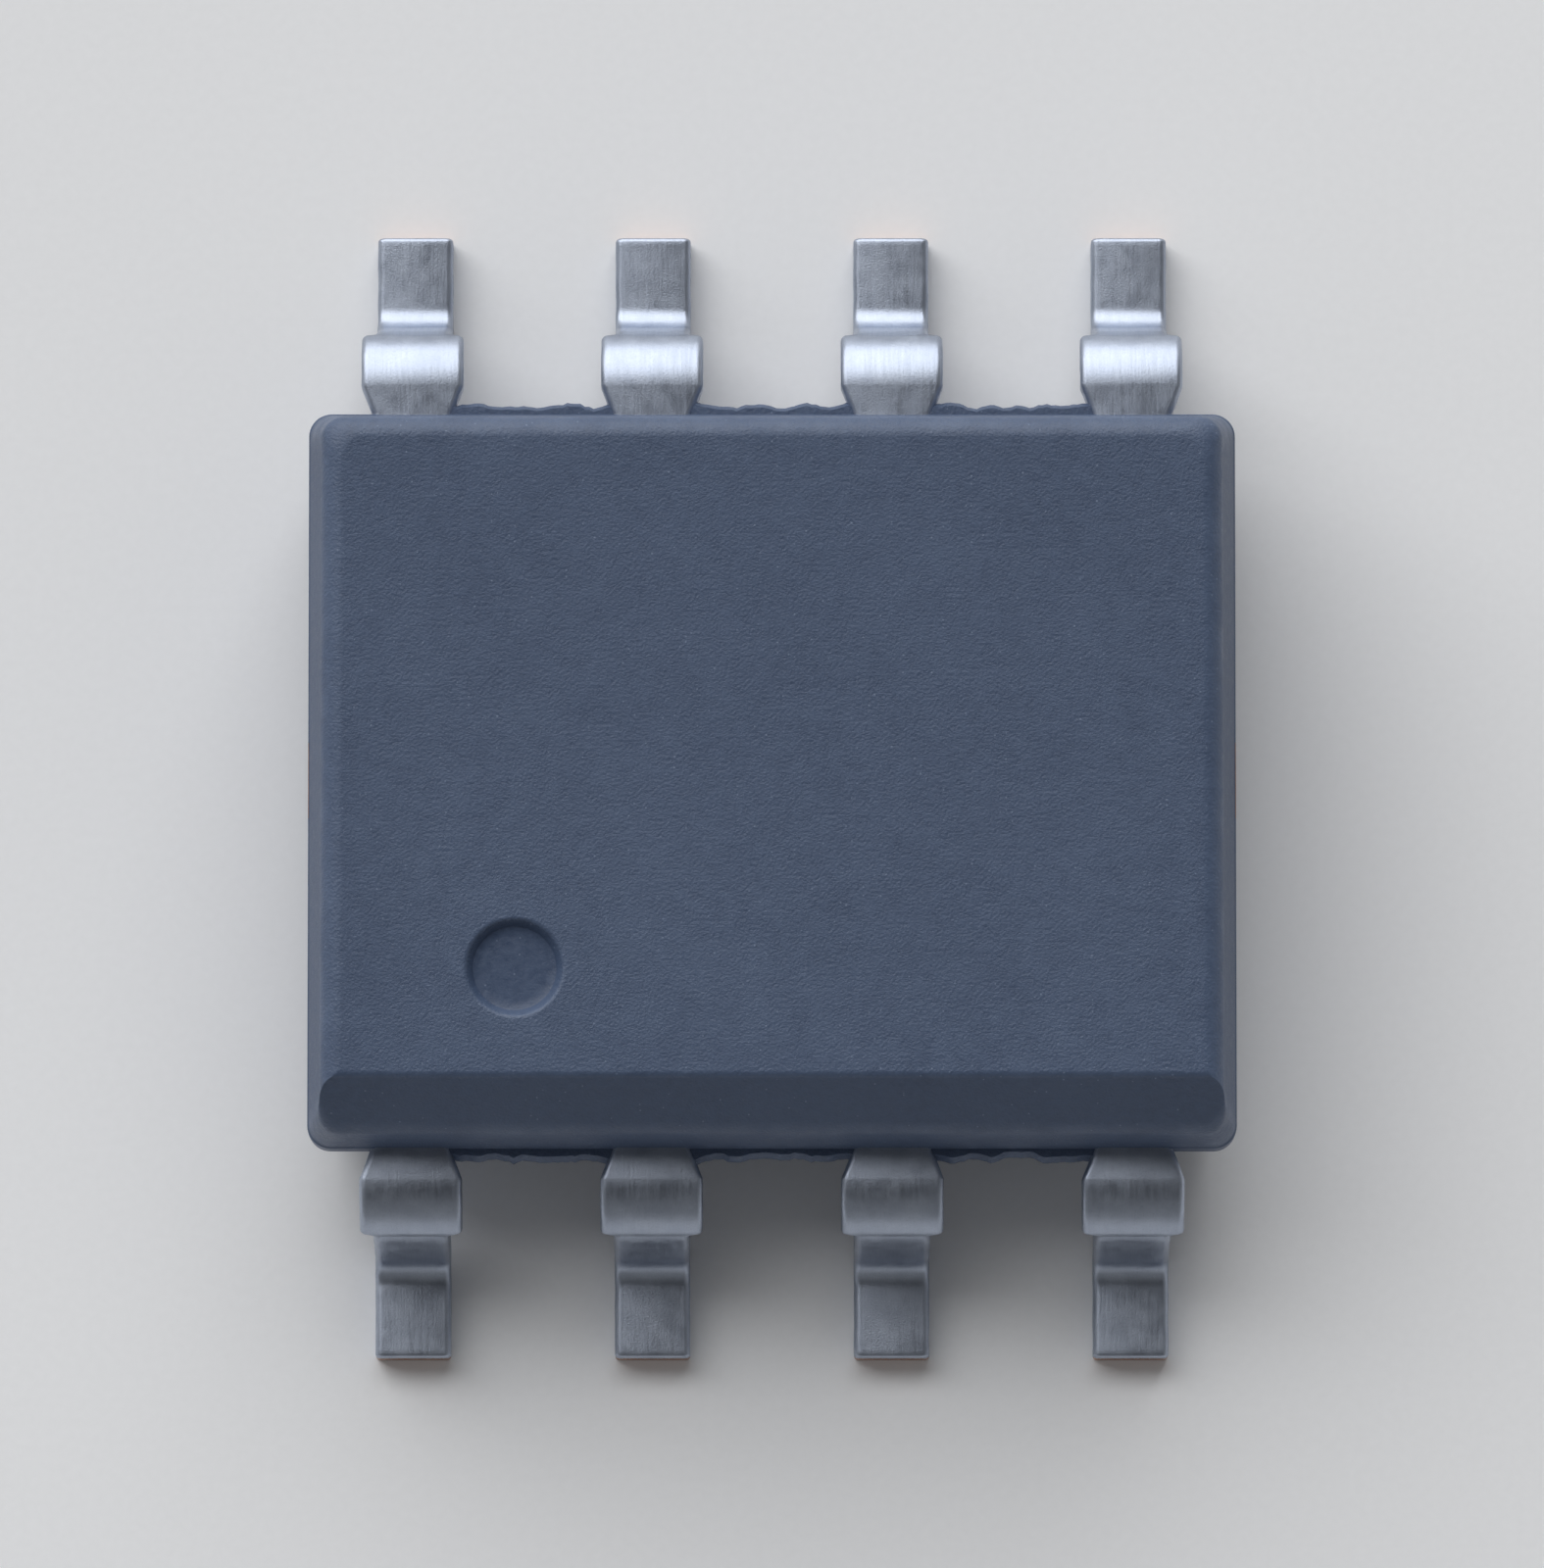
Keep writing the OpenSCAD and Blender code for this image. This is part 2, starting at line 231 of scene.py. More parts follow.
BEND_MIDDLE = BEND_RADIUS + STRIP / 2
BEND_RUN = BEND_MIDDLE * math.sin(LEG_ANGLE)
BEND_DROP = BEND_MIDDLE * (1 - math.cos(LEG_ANGLE))
LEG_DROP = strip_bottom - 2 * BEND_DROP
LEG_LENGTH = LEG_DROP / math.sin(LEG_ANGLE)
BEND_LENGTH = BEND_MIDDLE * LEG_ANGLE
lead_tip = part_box("lead_6")[1].y
sole_start = lead_tip - SOLE_LENGTH
shoulder_end = sole_start - 2 * BEND_RUN - LEG_DROP / math.tan(LEG_ANGLE)
strip_length = shoulder_end + 2 * BEND_LENGTH + LEG_LENGTH + SOLE_LENGTH


def strip_place(s):
    """Middle of the strip (y, z) and its slope at length s, counted from the body's middle line."""
    if s <= shoulder_end:
        return s, strip_middle, 0.0
    s -= shoulder_end
    if s <= BEND_LENGTH:
        turn = s / BEND_MIDDLE
        y = shoulder_end + BEND_MIDDLE * math.sin(turn)
        z = strip_middle - BEND_MIDDLE * (1 - math.cos(turn))
        return y, z, -turn
    s -= BEND_LENGTH
    y = shoulder_end + BEND_RUN
    z = strip_middle - BEND_DROP
    if s <= LEG_LENGTH:
        return y + s * math.cos(LEG_ANGLE), z - s * math.sin(LEG_ANGLE), -LEG_ANGLE
    s -= LEG_LENGTH
    if s <= BEND_LENGTH:
        turn = LEG_ANGLE - s / BEND_MIDDLE
        y = sole_start - BEND_MIDDLE * math.sin(turn)
        z = STRIP / 2 + BEND_MIDDLE * (1 - math.cos(turn))
        return y, z, -turn
    return sole_start + s - BEND_LENGTH, STRIP / 2, 0.0


def strip_widths(corner, inner_end, head_reach):
    """(length, half width towards the chip's end, half width towards its middle) along the strip."""
    head_end = body_side - HEAD_COVER
    neck = NECK_WIDTH / 2
    dam = DAM_BAR_WIDTH / 2
    leg = LEAD_WIDTH / 2
    dam_end = shoulder_end + DAM_BAR_LENGTH
    if corner:
        head = [
            (inner_end, neck, head_reach - HEAD_CHAMFER),
            (inner_end + HEAD_CHAMFER, neck, head_reach),
            (head_end - HEAD_CHAMFER, neck, head_reach),
            (head_end, neck, neck),
        ]
    else:
        head = [
            (inner_end, head_reach - HEAD_CHAMFER, head_reach - HEAD_CHAMFER),
            (inner_end + HEAD_CHAMFER, head_reach, head_reach),
            (head_end - HEAD_CHAMFER, head_reach, head_reach),
            (head_end, neck, neck),
        ]
    return head + [
        (body_side, neck, neck),
        (shoulder_end - DAM_BAR_SHEAR, dam, dam),
        (dam_end - DAM_BAR_SHEAR, dam, dam),
        (dam_end + DAM_BAR_SHEAR, leg, leg),
        (strip_length, leg, leg),
    ]


def interpolate(table, s):
    """The table's values at length s, in straight lines from row to row."""
    for (s0, *low), (s1, *high) in zip(table, table[1:]):
        if s <= s1:
            share = 0 if s1 == s0 else (s - s0) / (s1 - s0)
            return [a + (b - a) * share for a, b in zip(low, high)]
    return list(table[-1][1:])


def strip_outline(outer, inner, top, bottom, rolled, sheared):
    """Rounded section of the strip: (x towards the chip's end, height) points, anticlockwise."""
    corners = [
        (outer, top, rolled),
        (-inner, top, rolled),
        (-inner, -bottom, sheared),
        (outer, -bottom, sheared),
    ]
    points = []
    steps = 5
    for quarter, (x, z, radius) in enumerate(corners):
        middle_x = x - math.copysign(radius, x)
        middle_z = z - math.copysign(radius, z)
        for k in range(steps + 1):
            turn = math.pi / 2 * (quarter + k / steps)
            points.append((middle_x + radius * math.cos(turn), middle_z + radius * math.sin(turn)))
    return points


def lead_stations(inner_end, widths):
    """(length, how far the tip's rolled edge has come in) from the inner end to the tip."""
    count = int((strip_length - inner_end) / STATION_SPACING)
    lengths = {inner_end + (strip_length - inner_end) * k / count for k in range(count)}
    lengths |= {row[0] for row in widths}
    stations = [(s, 0.0) for s in sorted(lengths) if strip_length - s > 1.2 * TIP_ROLL]
    tip_turns = [math.radians(15 * k) for k in range(7)]
    for turn in tip_turns:
        stations.append((strip_length - TIP_ROLL * (1 - math.sin(turn)), TIP_ROLL * (1 - math.cos(turn))))
    return stations


def lead_piece(i):
    """One lead, swept along its bent middle line."""
    low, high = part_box(f"lead_{i}")
    x0, side, end = lead_x(i), side_of(i), end_of(i)
    inner_end = min(abs(low.y), abs(high.y))
    head_reach = abs((low.x if end > 0 else high.x) - x0)
    widths = strip_widths(is_corner(i), inner_end, head_reach)
    rings = []
    for s, roll in lead_stations(inner_end, widths):
        y, z, slope = strip_place(s)
        outer, inner = interpolate(widths, s)
        wander = EDGE_WANDER * noise.noise(Vector((3.1 * i, s * COARSE_GRAIN, 0.0)))
        section = strip_outline(
            outer - roll + wander, inner - roll - wander, STRIP / 2 - roll, STRIP / 2 - 0.2 * roll,
            ROLLED_EDGE, SHEARED_EDGE,
        )
        rings.append([
            Vector((
                x0 + end * across,
                side * (y - up * math.sin(slope)),
                z + up * math.cos(slope),
            ))
            for across, up in section
        ])
    piece = mesh_object(f"tinned_lead_{i}", loft(rings))
    mark_faces(piece, "cut", lambda face: (
        side * face.center.y > lead_tip - TIP_ROLL and side * face.normal.y > 0.5
    ))
    finish_normals(piece, LEAD_CREASE)
    return piece


# ---------------------------------------------------------------- the body


def slab_ring(inset, z, corner_steps=10, spacing=0.08 * MM):
    """Rounded rectangle of the body at height z, inset from the parting band."""
    half_x = half_length - inset - CORNER_RADIUS
    half_y = body_side - inset - CORNER_RADIUS
    points = []
    for quarter, (sx, sy) in enumerate(((1, 1), (-1, 1), (-1, -1), (1, -1))):
        for step in range(corner_steps + 1):
            turn = math.pi / 2 * (quarter + step / corner_steps)
            x = sx * half_x + CORNER_RADIUS * math.cos(turn)
            y = sy * half_y + CORNER_RADIUS * math.sin(turn)
            points.append(Vector((x, y, z)))
        start = points[-1]
        run = Vector((-sy * half_x, 0, 0)) if sx == sy else Vector((0, sx * half_y, 0))
        count = round((half_length if sx == sy else body_side) * 2 / spacing)
        points += [start + 2 * run * step / count for step in range(1, count)]
    return points


def smooth_max(a, b, softness):
    """The larger of two values, rounded where they are close."""
    blend = max(softness - abs(a - b), 0.0) / softness
    return max(a, b) + blend * blend * softness / 4


def chamfer_line(z):
    """How far back the flat on the side of leads 1 to 4 reaches at height z."""
    edge = body_side - (body_top - strip_top) * math.tan(DRAFT)
    depth = body_top - z
    back = -edge + PIN1_CHAMFER
    if depth >= CHAMFER_SOFTNESS * (1 - math.cos(PIN1_CHAMFER_ANGLE)):
        return back - depth
    turn = math.acos(1 - depth / CHAMFER_SOFTNESS)
    return back + CHAMFER_SOFTNESS * (math.tan(PIN1_CHAMFER_ANGLE / 2) - math.sin(turn))


def half_levels(height, radius, extra=()):
    """(height above the parting band, inset) up to the flat face, for one half of the body."""
    slope_end = height - radius * (1 - math.sin(DRAFT))
    heights = {0.004 * MM, 0.02 * MM, 0.06 * MM, 0.25 * height, 0.5 * height, 0.75 * height,
               slope_end - 0.015 * MM}
    heights |= {h for h in extra if h < slope_end - 0.02 * MM}
    levels = [(h, h * math.tan(DRAFT)) for h in sorted(heights)]
    steps = 12
    for step in range(steps + 1):
        turn = DRAFT + (math.pi / 2 - DRAFT) * step / steps
        levels.append((
            slope_end + radius * (math.sin(turn) - math.sin(DRAFT)),
            slope_end * math.tan(DRAFT) + radius * (math.cos(DRAFT) - math.cos(turn)),
        ))
    return levels


def band_levels():
    """(height above the strip's bottom, inset) across the parting band and its rounded lips."""
    lip = [(PARTING_LIP * (1 - math.cos(turn)), PARTING_LIP * (1 - math.sin(turn)))
           for turn in (math.radians(30 * k) for k in (1, 2, 3))]
    inner = [(share * STRIP, 0.0) for share in (0.15, 0.5, 0.85)]
    return lip + inner + [(STRIP - h, inset) for h, inset in reversed(lip)]


def body_rings():
    """Rings of the moulded block from its bottom face to its top one."""
    lower = half_levels(strip_bottom - body_bottom, BOTTOM_EDGE_RADIUS)
    chamfer_start = body_top - strip_top - PIN1_CHAMFER
    chamfer_levels = [chamfer_start + 0.02 * MM * k for k in range(-3, 13)]
    upper = half_levels(body_top - strip_top, TOP_EDGE_RADIUS, chamfer_levels)
    rings = [slab_ring(PARTING_LIP + inset, strip_bottom - h) for h, inset in reversed(lower)]
    rings += [slab_ring(inset, strip_bottom + h) for h, inset in band_levels()]
    for h, inset in upper:
        ring = slab_ring(PARTING_LIP + inset, strip_top + h)
        limit = chamfer_line(strip_top + h)
        for point in ring:
            if point.y < 0:
                point.y = smooth_max(point.y, limit, CHAMFER_BLEND)
        rings.append(ring)
    return rings


def round_recess(name, radius, depth, face_z, up, x=0.0, y=0.0, slope=0.5):
    """Tool for a round recess whose rim is rolled over and whose floor has a small fillet."""
    rim = RECESS_RIM
    floor = radius - depth * slope
    profile = [(floor * k / 4, -depth) for k in (1, 2, 3)]
    profile += [
        (floor - 0.3 * rim, -depth),
        (floor, -depth + 0.12 * rim),
        (floor + 0.15 * rim, -depth + 0.4 * rim),
        (radius - 0.1 * rim, -0.75 * rim),
        (radius + 0.25 * rim, -0.3 * rim),
        (radius + 0.8 * rim, -0.06 * rim),
        (radius + 1.4 * rim, 0.02 * rim),
        (radius + 1.4 * rim, OVERRUN),
    ]
    rings = revolve(profile)
    for ring in rings:
        for point in ring:
            point.z = face_z + up * point.z
            point.x += x
            point.y += y
    return mesh_object(name, loft(rings))


def flash_strip(name, x_from, x_to, side):
    """Ragged web of compound that ran out between two leads as far as the dam bar."""
    rings = []
    steps = 40
    root = 0.06 * MM
    gap = 0.012 * MM
    for k in range(steps + 1):
        share = k / steps
        x = x_from + (x_to - x_from) * share
        ragged = noise.noise(Vector((x * COARSE_GRAIN, side * 3.7, 1.0)))
        fine = noise.noise(Vector((x * FINE_GRAIN, side * 9.1, 4.0)))
        corner = math.exp(-min(share, 1 - share) * 14)
        reach = DAM_FLASH * min(0.98, 0.55 + 0.3 * corner + 0.32 * ragged + 0.12 * fine)
        outer = body_side + reach
        ring = [
            (body_side - root, strip_bottom + gap),
            (outer - FLASH_LIP, strip_bottom + gap),
            (outer, strip_bottom + gap + FLASH_LIP),
            (outer, strip_top - gap - 1.5 * FLASH_LIP - FLASH_LIP * max(fine, 0)),
            (outer - FLASH_LIP, strip_top - gap),
            (body_side - root, strip_top - gap),
        ]
        rings.append([Vector((x, side * y, z)) for y, z in ring])
    return mesh_object(name, loft(rings))


def gate_remnant():
    """Rough break where the runner came off, just under the parting band."""
    columns, rows = 90, 30
    under = 0.003 * MM  # the break's border lies this far inside the wall, so that the union has no slivers
    depth, relief = 0.010 * MM, 0.009 * MM
    front = []
    for r in range(rows + 1):
        line = []
        for c in range(columns + 1):
            y = GATE_WIDTH * (c / columns - 0.5)
            z = strip_bottom - GATE_TOP - (GATE_HEIGHT - GATE_TOP) * r / rows
            wall = PARTING_LIP + (strip_bottom - z) * math.tan(DRAFT)
            edge = min(GATE_WIDTH / 2 - abs(y), z - strip_bottom + GATE_HEIGHT)
            rough = noise.fractal(Vector((y * BREAK_GRAIN, z * BREAK_GRAIN, 2.0)), 0.8, 2.2, 5)
            sunk = depth + relief * max(-1.0, min(1.0, rough))
            share = min(1.0, edge / GATE_FALL)
            line.append(Vector((-half_length + wall + under + (sunk - wall - under) * share, y, z)))
        front.append(line)
    root = -half_length + 1.2 * CORNER_RADIUS
    bm = bmesh.new()
    near = [[bm.verts.new(point) for point in line] for line in front]
    far = [[bm.verts.new((root, point.y, point.z)) for point in line] for line in front]
    for r in range(rows):
        for c in range(columns):
            bm.faces.new((near[r][c], near[r][c + 1], near[r + 1][c + 1], near[r + 1][c]))
            bm.faces.new((far[r][c], far[r + 1][c], far[r + 1][c + 1], far[r][c + 1]))
    for c in range(columns):
        for r in (0, rows):
            bm.faces.new((near[r][c], near[r][c + 1], far[r][c + 1], far[r][c]))
    for r in range(rows):
        for c in (0, columns):
            bm.faces.new((near[r][c], near[r + 1][c], far[r + 1][c], far[r][c]))
    return mesh_object("gate_remnant", bm)


def is_gate_break(face):
    """Whether a face is part of the gate's break: near it, and not flat in the drafted wall."""
    wall = Vector((-math.cos(DRAFT), 0, -math.sin(DRAFT)))
    depth = strip_bottom - face.center.z
    near = abs(face.center.y) < GATE_WIDTH / 2 and GATE_TOP < depth < GATE_HEIGHT
    at_the_end = face.center.x < -half_length + GATE_REACH
    return near and at_the_end and face.normal.dot(wall) < WALL_FLATNESS


def solid_copy(source, stretch=None):
    """A welded, closed copy of a piece, to cut the body's cavity with."""
    bm = bmesh.new()
    bm.from_mesh(source.data)
    bmesh.ops.remove_doubles(bm, verts=bm.verts, dist=1e-8)
    if stretch:
        for vert in bm.verts:
            stretch(vert)
    return mesh_object("tool_" + source.name, bm)


def past_the_ends(vert):
    """Carries the tie bars' ends a little past the body, so that the cut goes through."""
    if abs(vert.co.x) > half_length - 0.01 * MM:
        vert.co.x += math.copysign(OVERRUN, vert.co.x)


def into_the_seats(vert):
    """Presses a wire's two bonds a hair into the die and the lead, so that their hollows join."""
    if min(abs(vert.co.z - die_top), abs(vert.co.z - strip_top)) < 0.01 * PRESS:
        vert.co.z -= PRESS


def body_piece(leads):
    """The moulded body, with its cavity cut by the leads and by the CAD pieces inside it."""
    piece = mesh_object("moulded_body", loft(body_rings()))
    mark = round_recess(
        "tool_mark", MARK_DIAMETER / 2, MARK_DEPTH, body_top, 1, mark_x, mark_y
    )
    ejector = round_recess(
        "tool_ejector", EJECTOR_DIAMETER / 2, EJECTOR_DEPTH, body_bottom, -1, slope=0.1
    )
    cut_or_join(piece, "DIFFERENCE", [mark, ejector])
    extras = [gate_remnant()]
    inner = NECK_WIDTH / 2 - FLASH_OVERLAP
    for side, first in ((-1, 1), (1, LEADS_PER_SIDE + 1)):
        row = sorted(lead_x(i) for i in range(first, first + LEADS_PER_SIDE))
        for k, (a, b) in enumerate(zip(row, row[1:])):
            extras.append(flash_strip(f"flash_{side}_{k}", a + inner, b - inner, side))
    cut_or_join(piece, "UNION", extras)
    tools = [solid_copy(lead) for lead in leads]
    tools.append(solid_copy(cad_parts["die_paddle"], past_the_ends))
    tools += [solid_copy(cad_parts[name]) for name in ("die_attach", "die")]
    for i in range(1, LEAD_COUNT + 1):
        tools.append(solid_copy(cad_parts[f"bond_wire_{i}"], into_the_seats))
    cut_or_join(piece, "DIFFERENCE", tools)
    mark_body_finish(piece)
    mark_faces(piece, "torn", is_gate_break)
    finish_normals(piece, BODY_CREASE)
    return piece


def mark_body_finish(piece):
    """Vertex attributes: wear and a painted highlight on rounded convex edges, polished on the two round
    recesses' floors.
    """
    wear_and_edge_highlight, polished = [], []
    full_edge_mark_turn = math.radians(6)
    bm = bmesh.new()
    bm.from_mesh(piece.data)
    bm.normal_update()
    mark = Vector((mark_x, mark_y))
    for vert in bm.verts:
        turns = [edge.calc_face_angle_signed(0) for edge in vert.link_edges]
        # How far each vertex is rounded over, which sets the wear and the painted edge highlight
        rounding = max((turn for turn in turns if turn < math.radians(BODY_CREASE)), default=0)
        wear_and_edge_highlight.append(max(0.0, min(1.0, rounding / full_edge_mark_turn)))
        place = vert.co
        below_top = (body_top - place.z) / MARK_DEPTH
        above_bottom = (place.z - body_bottom) / EJECTOR_DEPTH
        in_mark = (place.xy - mark).length < MARK_DIAMETER / 2 and 0.8 < below_top < 1.01
        in_ejector = place.xy.length < EJECTOR_DIAMETER / 2 and 0.8 < above_bottom < 1.01
        polished.append(float(in_mark or in_ejector))
    bm.free()
    for name, values in (("wear_and_edge_highlight", wear_and_edge_highlight), ("polished", polished)):
        piece.data.attributes.new(name, "FLOAT", "POINT").data.foreach_set("value", values)


# ---------------------------------------------------------------- materials


class Shader:
    """A material's node tree, with short calls for the nodes that this scene uses."""

    # Sockets of a Mix node that mixes colours, whose names are shared with its other kinds
    COLOUR_A, COLOUR_B, COLOUR_RESULT = 6, 7, 2

    def __init__(self, name):
        self.material = bpy.data.materials.new(name)
        self.material.use_nodes = True
        self.tree = self.material.node_tree
        self.surface = self.tree.nodes["Principled BSDF"]
        self.coordinates = self.add("ShaderNodeTexCoord").outputs["Object"]

    def add(self, kind, inputs=None, **settings):
        node = self.tree.nodes.new(kind)
        for key, value in settings.items():
            setattr(node, key, value)
        for key, value in (inputs or {}).items():
            self.connect(value, node.inputs[key])
        return node

    def connect(self, value, socket):
        if isinstance(value, bpy.types.NodeSocket):
            self.tree.links.new(value, socket)
        else:
            socket.default_value = value

    def noise(self, size, detail=3.0, roughness=0.55, stretch=(1, 1, 1)):
        """Noise from 0 to 1 whose grains are about size metres wide."""
        place = self.add("ShaderNodeMapping", {"Vector": self.coordinates, "Scale": stretch})
        node = self.add(
            "ShaderNodeTexNoise",
            {"Vector": place.outputs["Vector"], "Scale": 1 / size, "Detail": detail, "Roughness": roughness},
        )
        return node.outputs["Fac"]

    def cells(self, size):
        """Voronoi cells about size metres wide, as the node with its Distance and Color."""
        return self.add("ShaderNodeTexVoronoi", {"Vector": self.coordinates, "Scale": 1 / size})

    def attribute(self, name):
        return self.add("ShaderNodeAttribute", attribute_name=name).outputs["Fac"]

    def channel(self, value):
        """The red channel of a colour."""
        return self.add("ShaderNodeSeparateColor", {"Color": value}).outputs[0]

    def ramp(self, value, low, high, to_low=0.0, to_high=1.0):
        node = self.add(
            "ShaderNodeMapRange",
            {"Value": value, "From Min": low, "From Max": high, "To Min": to_low, "To Max": to_high},
        )
        return node.outputs["Result"]

    def maths(self, operation, a, b):
        node = self.add("ShaderNodeMath", {0: a, 1: b}, operation=operation)
        return node.outputs[0]

    def mix(self, share, a, b):
        node = self.add("ShaderNodeMix", data_type="RGBA")
        self.connect(share, node.inputs["Factor"])
        self.connect(a, node.inputs[self.COLOUR_A])
        self.connect(b, node.inputs[self.COLOUR_B])
        return node.outputs[self.COLOUR_RESULT]

    def bump(self, height, depth, strength=1.0, base=None):
        inputs = {"Height": height, "Distance": depth, "Strength": strength}
        if base is not None:
            inputs["Normal"] = base
        return self.add("ShaderNodeBump", inputs).outputs["Normal"]

    def set(self, **values):
        for key, value in values.items():
            self.connect(value, self.surface.inputs[key.replace("_", " ")])


def colour(red, green, blue):
    """A colour from its display values, 0 to 255."""
    def linear(v):
        v /= 255
        return v / 12.92 if v <= 0.04045 else ((v + 0.055) / 1.055) ** 2.4
    return (linear(red), linear(green), linear(blue), 1.0)


def compound_material():
    """Silica-filled epoxy with the spark-eroded grain of its mould."""
    s = Shader("mould compound")
    flow = s.noise(0.9 * MM, 4, 0.6)
    mottle = s.noise(0.045 * MM, 3, 0.65)
    grain = s.noise(0.016 * MM, 2, 0.6)
    patches = s.noise(0.2 * MM, 3, 0.6)
    wear_and_edge_highlight = s.maths("MULTIPLY", s.attribute("wear_and_edge_highlight"), s.ramp(patches, 0.35, 0.65, 0.35, 1.0))
    polished = s.attribute("polished")
    torn = s.attribute("torn")
    tone = s.mix(s.ramp(flow, 0.35, 0.65), colour(56, 71, 97), colour(63, 78, 104))
    tone = s.mix(s.ramp(mottle, 0.35, 0.65, 0.0, 0.5), tone, colour(73, 89, 116))
    specks = s.cells(0.03 * MM)
    speck = s.ramp(specks.outputs["Distance"], 0.12, 0.2, 1.0, 0.0)
    chosen = s.ramp(s.channel(specks.outputs["Color"]), 0.88, 0.89)
    tone = s.mix(s.maths("MULTIPLY", s.maths("MULTIPLY", speck, chosen), 0.45), tone, colour(132, 146, 168))
    # Rounded edges painted lighter: partly wear, partly a painted highlight where light catches them
    tone = s.mix(s.maths("MULTIPLY", wear_and_edge_highlight, 0.3), tone, colour(94, 110, 136))
    tone = s.mix(s.maths("MULTIPLY", torn, s.ramp(grain, 0.4, 0.6, 0.25, 0.65)), tone, colour(106, 117, 134))
    rough = s.ramp(mottle, 0.3, 0.7, 0.48, 0.62)
    rough = s.maths("SUBTRACT", rough, s.maths("MULTIPLY", wear_and_edge_highlight, 0.12))
    rough = s.maths("SUBTRACT", rough, s.maths("MULTIPLY", polished, 0.16))
    coarse = s.bump(mottle, 0.0035 * MM, 0.6)
    fine = s.bump(grain, 0.0045 * MM, s.ramp(polished, 0, 1, 1.0, 0.2), coarse)
    s.set(Base_Color=tone, Roughness=rough, Normal=fine)
    return s.material


def tin_material():
    """Matte electroplated tin over copper, bare copper where the tip was cut after plating."""
    s = Shader("matte tin plate")
    grain = s.noise(0.009 * MM, 2, 0.6)
    cloud = s.noise(0.1 * MM, 3, 0.55)
    streak = s.noise(0.014 * MM, 2, 0.6, stretch=(1, 0.06, 0.06))
    tin = s.mix(s.ramp(cloud, 0.35, 0.65), colour(160, 168, 183), colour(171, 179, 193))
    tin = s.mix(s.ramp(grain, 0.5, 0.75, 0.0, 0.4), tin, colour(142, 150, 165))
    drag = s.noise(0.01 * MM, 2, 0.6, stretch=(1, 1, 0.08))
    height = s.add("ShaderNodeSeparateXYZ", {"Vector": s.coordinates}).outputs["Z"]
    low_down = s.ramp(height, 0.35 * STRIP, 0.95 * STRIP, 1.2, 0.2)
    bare = s.maths("SUBTRACT", low_down, s.ramp(drag, 0.3, 0.7, 0.0, 0.6))
    bare = s.maths("MULTIPLY", s.attribute("cut"), s.ramp(bare, 0.3, 0.45))
    copper = s.mix(s.ramp(drag, 0.3, 0.7), colour(150, 108, 88), colour(186, 146, 124))
    rough = s.maths("ADD", s.ramp(cloud, 0.3, 0.7, 0.36, 0.44), s.ramp(streak, 0.35, 0.65, -0.04, 0.04))
    coarse = s.bump(streak, 0.002 * MM, 0.4)
    s.set(Base_Color=s.mix(bare, tin, copper), Metallic=1.0, Roughness=rough,
          Normal=s.bump(grain, 0.0015 * MM, 0.6, coarse))
    return s.material


def copper_material():
    """Rolled copper alloy of the lead frame, with the shear lines of its cut tie-bar ends."""
    s = Shader("lead frame copper")
    rolled = s.noise(0.015 * MM, 2, 0.6, stretch=(0.05, 1, 1))
    shear = s.noise(0.009 * MM, 3, 0.6, stretch=(1, 1, 0.07))
    tarnish = s.noise(0.12 * MM, 4, 0.6)
    height = s.add("ShaderNodeSeparateXYZ", {"Vector": s.coordinates}).outputs["Z"]
    torn = s.ramp(s.maths("ADD", height, s.ramp(shear, 0.3, 0.7, -0.2 * STRIP, 0.2 * STRIP)),
                  strip_bottom + 0.25 * STRIP, strip_bottom + 0.4 * STRIP, 1.0, 0.0)
    tone = s.mix(s.ramp(tarnish, 0.35, 0.65), colour(154, 110, 90), colour(182, 140, 118))
    tone = s.mix(s.ramp(shear, 0.4, 0.7, 0.0, 0.5), tone, colour(124, 88, 74))
    tone = s.mix(s.maths("MULTIPLY", torn, 0.55), tone, colour(122, 92, 80))
    rough = s.maths("ADD", s.ramp(shear, 0.3, 0.7, 0.3, 0.42), s.maths("MULTIPLY", torn, 0.25))
    s.set(Base_Color=tone, Metallic=1.0, Roughness=rough,
          Normal=s.bump(shear, 0.003 * MM, 0.6, s.bump(rolled, 0.002 * MM, 0.5)))
    return s.material


def adhesive_material():
    """Epoxy filled with silver flakes."""
    s = Shader("silver adhesive")
    flakes = s.cells(0.012 * MM)
    bits = s.channel(flakes.outputs["Color"])
    tone = s.mix(bits, colour(150, 150, 146), colour(206, 206, 202))
    s.set(Base_Color=tone, Metallic=0.7, Roughness=s.ramp(bits, 0, 1, 0.35, 0.6),
          Normal=s.bump(s.noise(0.02 * MM), 0.004 * MM, 0.8))
    return s.material


def silicon_material():
    """Polished silicon with a fine pattern of circuit blocks under glassy passivation."""
    s = Shader("silicon")
    blocks = s.cells(0.11 * MM)
    blocks.distance = "CHEBYCHEV"
    tint = s.channel(blocks.outputs["Color"])
    lines = s.noise(0.006 * MM, 1, 0.5, stretch=(1, 0.1, 1))
    tone = s.mix(tint, colour(70, 76, 96), colour(112, 104, 122))
    tone = s.mix(s.ramp(lines, 0.5, 0.6, 0.0, 0.4), tone, colour(150, 148, 140))
    s.set(Base_Color=tone, Metallic=0.4, Roughness=s.ramp(tint, 0, 1, 0.1, 0.22), Coat_Weight=0.6)
    return s.material


def gold_material():
    """Drawn gold wire."""
    s = Shader("bond wire gold")
    drawn = s.noise(0.01 * MM, 2)
    tone = s.mix(s.ramp(drawn, 0.3, 0.7), colour(232, 186, 96), colour(246, 208, 128))
    s.set(Base_Color=tone, Metallic=1.0, Roughness=s.ramp(drawn, 0.3, 0.7, 0.14, 0.24),
          Normal=s.bump(drawn, 0.0006 * MM, 0.5))
    return s.material


